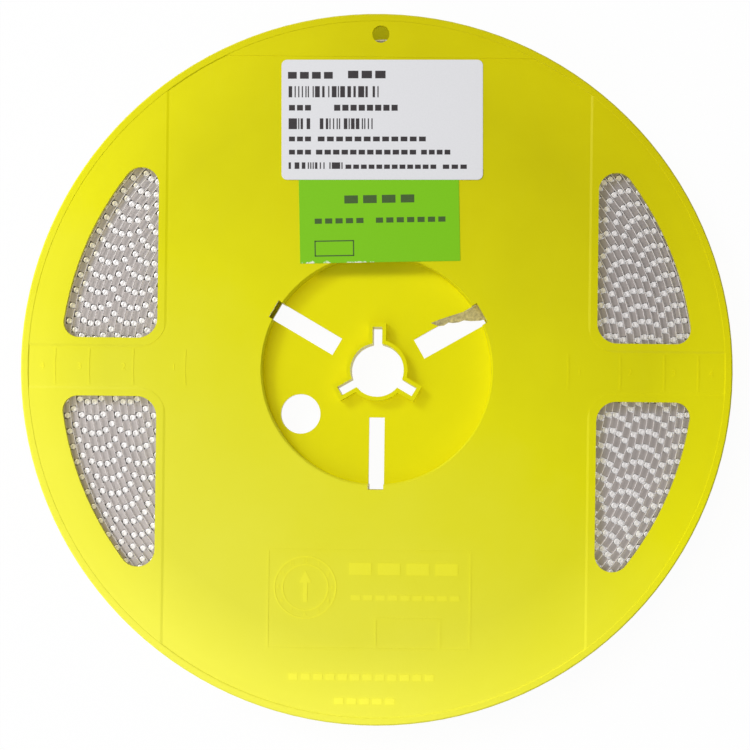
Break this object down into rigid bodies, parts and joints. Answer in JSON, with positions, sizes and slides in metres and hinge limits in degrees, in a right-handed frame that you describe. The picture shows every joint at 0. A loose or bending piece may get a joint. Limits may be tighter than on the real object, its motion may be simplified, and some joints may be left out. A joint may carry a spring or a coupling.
{
  "type": "smd tape reel",
  "caption": "Seven inch plastic reel of 8 mm embossed carrier tape holding small cylindrical glass diodes, with keyed arbor bore, drive pin hole, flange windows and two paper labels",
  "frame": {"origin": "centre of the back rim's outer face, the lowest face as the reel lies label side up", "axes": "+Z along the arbor bore towards the label side, +Y from the arbor to the labels, +X to the right as the labels are read"},
  "size_m": [0.178, 0.178, 0.0118],
  "materials": {
    "moulded_reel": "satin moulded polystyrene",
    "carrier_tape": "smoke clear antistatic tape",
    "cover_film": "clear heat sealed film",
    "diode_glass": "glass tube with tinned end caps",
    "adhesive_tape": "tan adhesive tape",
    "white_paper": "coated label paper",
    "green_paper": "coated label paper"
  },
  "bodies": {
    "root": {"front_half": "moulded_reel", "back_half": "moulded_reel", "carrier_tape": "carrier_tape", "cover_film": "cover_film", "anchor_tape": "adhesive_tape", "white_label": "white_paper", "green_label": "green_paper", "diodes_turn_01": "diode_glass", "diodes_turn_02": "diode_glass", "diodes_turn_03": "diode_glass", "diodes_turn_04": "diode_glass", "diodes_turn_05": "diode_glass", "diodes_turn_06": "diode_glass", "diodes_turn_07": "diode_glass", "diodes_turn_08": "diode_glass", "diodes_turn_09": "diode_glass", "diodes_turn_10": "diode_glass", "diodes_turn_11": "diode_glass", "diodes_turn_12": "diode_glass", "diodes_turn_13": "diode_glass", "diodes_turn_14": "diode_glass", "diodes_turn_15": "diode_glass", "diodes_turn_16": "diode_glass", "diodes_turn_17": "diode_glass", "diodes_turn_18": "diode_glass", "diodes_turn_19": "diode_glass", "diodes_turn_20": "diode_glass", "diodes_turn_21": "diode_glass", "diodes_turn_22": "diode_glass", "diodes_turn_23": "diode_glass", "diodes_turn_24": "diode_glass", "diodes_turn_25": "diode_glass", "diodes_turn_26": "diode_glass", "diodes_turn_27": "diode_glass", "diodes_turn_28": "diode_glass"}
  },
  "joints": []
}
